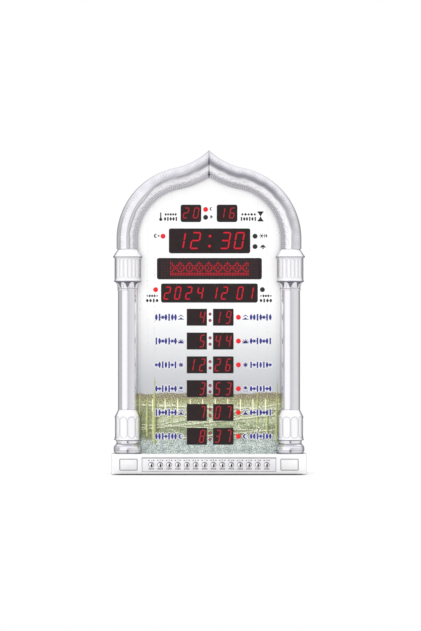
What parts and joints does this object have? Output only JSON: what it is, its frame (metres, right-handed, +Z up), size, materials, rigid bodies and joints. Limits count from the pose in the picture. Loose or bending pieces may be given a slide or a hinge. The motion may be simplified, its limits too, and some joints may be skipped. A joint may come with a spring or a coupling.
{
  "type": "arched prayer-time clock",
  "caption": "Mains-powered digital prayer-time clock: an ogee arch on half-round columns frames a printed face with digit displays, over a plinth with push buttons.",
  "frame": {"origin": "on the ground, under the middle of the clock's box", "axes": "+X to the right seen from the front, +Y from front to back, +Z up"},
  "size_m": [0.24, 0.049, 0.4],
  "materials": {
    "silver_plating": "satin plated plastic",
    "plinth_plastic": "glossy white",
    "panel_strip": "white panel with a hatched dark edge",
    "button_chrome": "bright chrome",
    "plate_plastic": "white with a grey outline",
    "face_print": "glossy print, pale sky over a garden",
    "display_black": "near-black with red digits",
    "lamp_red": "red lamp",
    "housing_plastic": "fine-grained white",
    "board_green": "solder mask",
    "chip_black": "matt black",
    "header_plastic": "off-white nylon",
    "steel": "zinc plated",
    "speaker_paper": "black paper",
    "magnet_grey": "dark grey ferrite",
    "lead_grey": "grey ribbon",
    "lead_black": "black insulation",
    "foot_rubber": "matt black rubber"
  },
  "bodies": {
    "case": {"arch_moulding": "silver_plating", "capital_left": "silver_plating", "capital_right": "silver_plating", "column_left": "silver_plating", "column_right": "silver_plating", "pedestal_left": "silver_plating", "pedestal_right": "silver_plating", "plinth_front": "plinth_plastic", "button_panel": "panel_strip", "end_plate_left": "plate_plastic", "end_plate_right": "plate_plastic", "face_panel": "face_print", "temperature_display": "display_black", "countdown_display": "display_black", "time_display": "display_black", "matrix_display": "display_black", "date_display": "display_black", "dawn_display": "display_black", "sunrise_display": "display_black", "noon_display": "display_black", "afternoon_display": "display_black", "sunset_display": "display_black", "night_display": "display_black", "indicator_lamps": "lamp_red", "row_lamps": "lamp_red", "colon_lamps": "lamp_red", "rear_housing": "housing_plastic", "display_board": "board_green", "button_board": "board_green", "board_chips": "chip_black", "push_switches": "chip_black", "power_inlet": "chip_black", "coin_cell_holder": "chip_black", "temperature_sensor": "chip_black", "board_headers": "header_plastic", "coin_cell": "steel", "case_screws": "steel", "display_board_screws": "steel", "button_board_screws": "steel", "speaker_frame": "steel", "speaker_cone": "speaker_paper", "speaker_magnet": "magnet_grey", "ribbon_cable": "lead_grey", "power_lead": "lead_black", "speaker_lead": "lead_black", "rubber_feet": "foot_rubber"},
    "button_01": {"button_01": "button_chrome"},
    "button_02": {"button_02": "button_chrome"},
    "button_03": {"button_03": "button_chrome"},
    "button_04": {"button_04": "button_chrome"},
    "button_05": {"button_05": "button_chrome"},
    "button_06": {"button_06": "button_chrome"},
    "button_07": {"button_07": "button_chrome"},
    "button_08": {"button_08": "button_chrome"},
    "button_09": {"button_09": "button_chrome"},
    "button_10": {"button_10": "button_chrome"},
    "button_11": {"button_11": "button_chrome"},
    "button_12": {"button_12": "button_chrome"},
    "button_13": {"button_13": "button_chrome"},
    "button_14": {"button_14": "button_chrome"}
  },
  "joints": [
    {"name": "button_01_press", "type": "slide", "parent": "case", "child": "button_01", "axis": [0, 1, 0], "range_m": [0, 0.0006], "stiffness_N_per_m": 300, "springref_m": -0.0005},
    {"name": "button_02_press", "type": "slide", "parent": "case", "child": "button_02", "axis": [0, 1, 0], "range_m": [0, 0.0006], "stiffness_N_per_m": 300, "springref_m": -0.0005},
    {"name": "button_03_press", "type": "slide", "parent": "case", "child": "button_03", "axis": [0, 1, 0], "range_m": [0, 0.0006], "stiffness_N_per_m": 300, "springref_m": -0.0005},
    {"name": "button_04_press", "type": "slide", "parent": "case", "child": "button_04", "axis": [0, 1, 0], "range_m": [0, 0.0006], "stiffness_N_per_m": 300, "springref_m": -0.0005},
    {"name": "button_05_press", "type": "slide", "parent": "case", "child": "button_05", "axis": [0, 1, 0], "range_m": [0, 0.0006], "stiffness_N_per_m": 300, "springref_m": -0.0005},
    {"name": "button_06_press", "type": "slide", "parent": "case", "child": "button_06", "axis": [0, 1, 0], "range_m": [0, 0.0006], "stiffness_N_per_m": 300, "springref_m": -0.0005},
    {"name": "button_07_press", "type": "slide", "parent": "case", "child": "button_07", "axis": [0, 1, 0], "range_m": [0, 0.0006], "stiffness_N_per_m": 300, "springref_m": -0.0005},
    {"name": "button_08_press", "type": "slide", "parent": "case", "child": "button_08", "axis": [0, 1, 0], "range_m": [0, 0.0006], "stiffness_N_per_m": 300, "springref_m": -0.0005},
    {"name": "button_09_press", "type": "slide", "parent": "case", "child": "button_09", "axis": [0, 1, 0], "range_m": [0, 0.0006], "stiffness_N_per_m": 300, "springref_m": -0.0005},
    {"name": "button_10_press", "type": "slide", "parent": "case", "child": "button_10", "axis": [0, 1, 0], "range_m": [0, 0.0006], "stiffness_N_per_m": 300, "springref_m": -0.0005},
    {"name": "button_11_press", "type": "slide", "parent": "case", "child": "button_11", "axis": [0, 1, 0], "range_m": [0, 0.0006], "stiffness_N_per_m": 300, "springref_m": -0.0005},
    {"name": "button_12_press", "type": "slide", "parent": "case", "child": "button_12", "axis": [0, 1, 0], "range_m": [0, 0.0006], "stiffness_N_per_m": 300, "springref_m": -0.0005},
    {"name": "button_13_press", "type": "slide", "parent": "case", "child": "button_13", "axis": [0, 1, 0], "range_m": [0, 0.0006], "stiffness_N_per_m": 300, "springref_m": -0.0005},
    {"name": "button_14_press", "type": "slide", "parent": "case", "child": "button_14", "axis": [0, 1, 0], "range_m": [0, 0.0006], "stiffness_N_per_m": 300, "springref_m": -0.0005}
  ]
}
